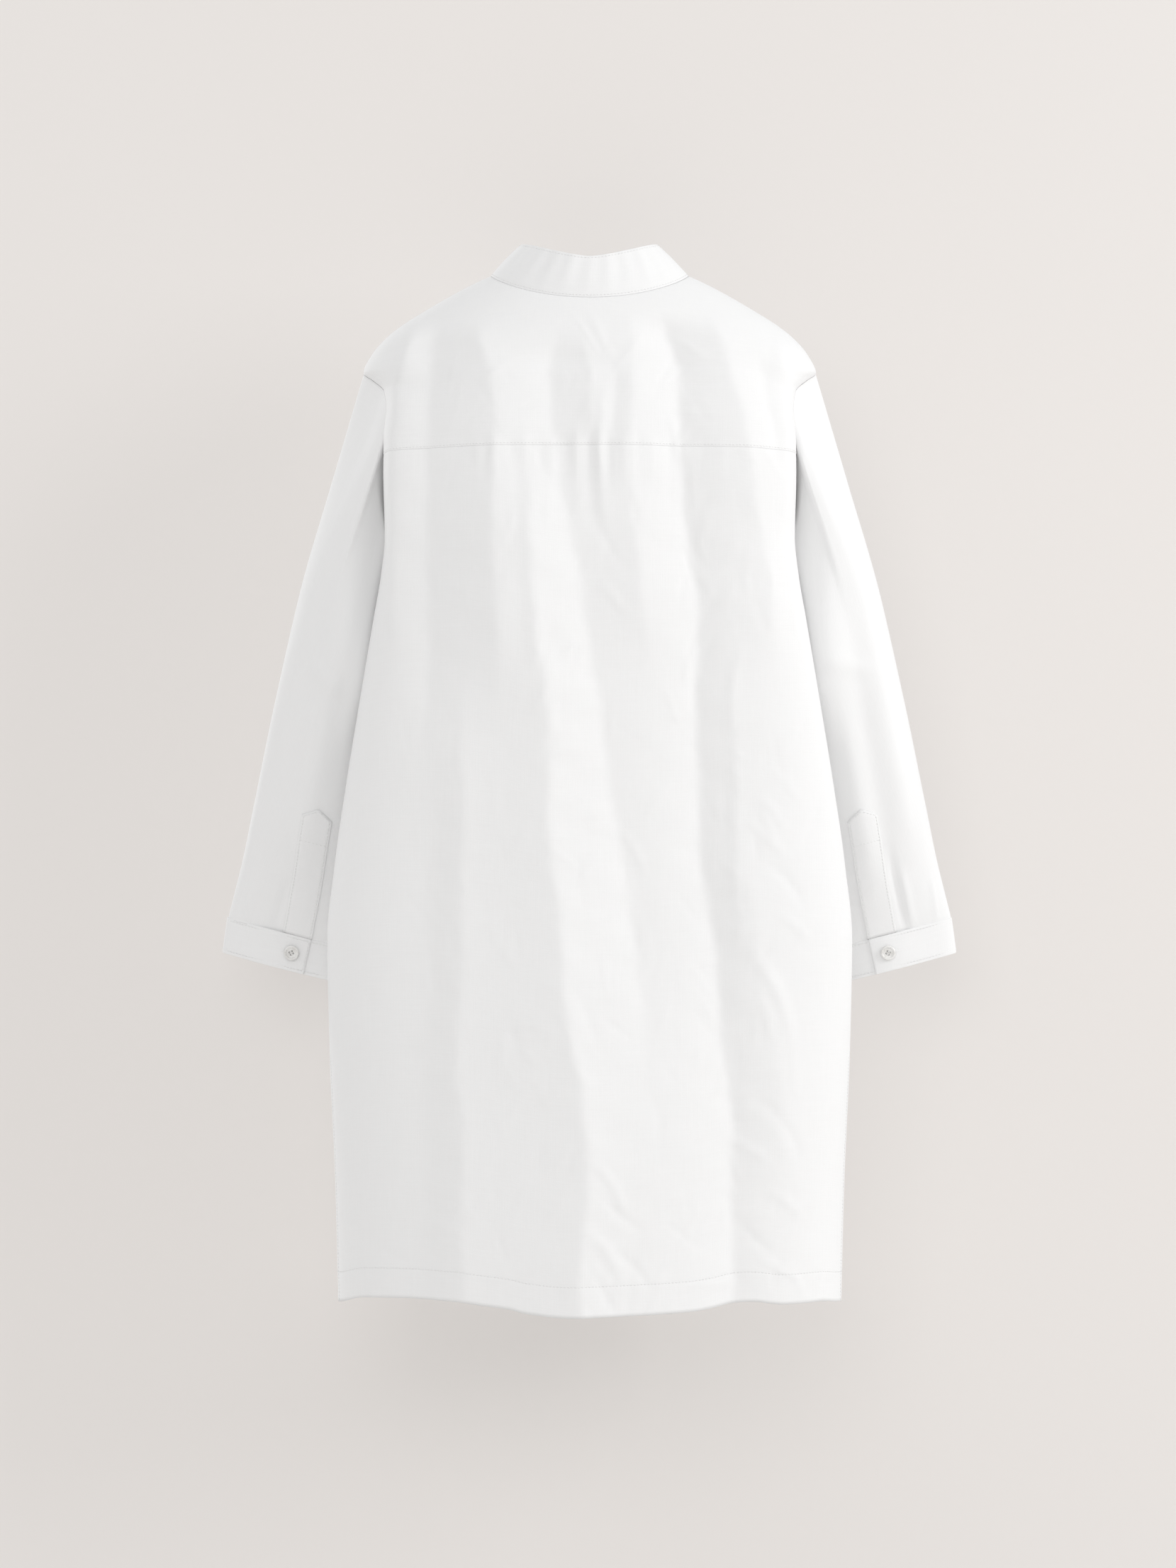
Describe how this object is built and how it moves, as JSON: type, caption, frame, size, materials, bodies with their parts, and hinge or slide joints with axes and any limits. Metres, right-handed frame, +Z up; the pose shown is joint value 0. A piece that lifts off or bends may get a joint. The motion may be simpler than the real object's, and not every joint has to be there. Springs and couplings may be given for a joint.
{
  "type": "tunic top",
  "caption": "Long linen tunic top with a stand collar, back yoke, half placket, buttoned cuffs and side vents, filled out and hollow.",
  "frame": {"origin": "middle of the neck's base, where the shoulders of the wearer carry the tunic", "axes": "+Z up, -Y the wearer's front, +X the wearer's left"},
  "size_m": [0.6744, 0.2332, 0.9524],
  "materials": {
    "linen": "matt plain-weave white linen, softly creased",
    "button": "polished pearl white"
  },
  "bodies": {
    "root": {"back_yoke": "linen", "back_panel": "linen", "front_panel": "linen", "front_placket": "linen", "front_underlap": "linen", "collar_band": "linen", "sleeve_left": "linen", "sleeve_right": "linen", "sleeve_placket_left": "linen", "sleeve_placket_right": "linen", "cuff_left": "linen", "cuff_right": "linen", "cuff_button_left": "button", "cuff_button_right": "button", "collar_button": "button", "placket_button_1": "button", "placket_button_2": "button", "placket_button_3": "button"}
  },
  "joints": []
}
